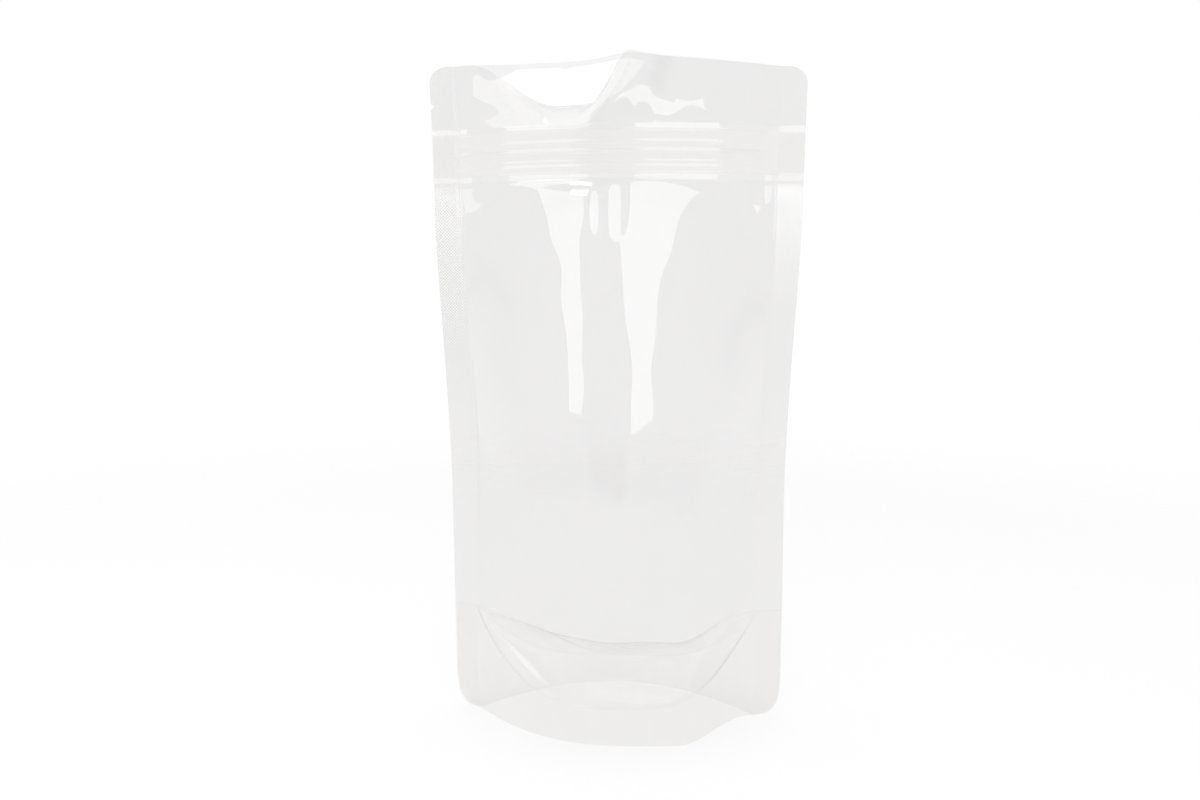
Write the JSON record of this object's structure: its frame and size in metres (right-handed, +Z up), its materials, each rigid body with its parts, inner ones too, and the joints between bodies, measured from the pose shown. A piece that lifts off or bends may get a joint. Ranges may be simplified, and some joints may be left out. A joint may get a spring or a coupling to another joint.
{
  "type": "stand-up pouch",
  "caption": "Clear flexible stand-up pouch with a curved bottom gusset, welded side seals, a press-to-close zipper below the mouth and a partly open front lip.",
  "frame": {"origin": "centre of the pouch's footprint on the floor", "axes": "+Z up from the base to the mouth, +X across the pouch to the right as seen from the front, -Y towards the front"},
  "size_m": [0.1244, 0.0552, 0.225],
  "materials": {
    "clear_film": "glossy clear film",
    "gusset_film": "glossy clear film",
    "zipper_plastic": "semi-clear extruded plastic"
  },
  "bodies": {
    "root": {"front_film": "clear_film", "back_film": "clear_film", "gusset_film": "gusset_film", "zipper_groove_strip": "zipper_plastic", "zipper_tongue_strip": "zipper_plastic"}
  },
  "joints": []
}
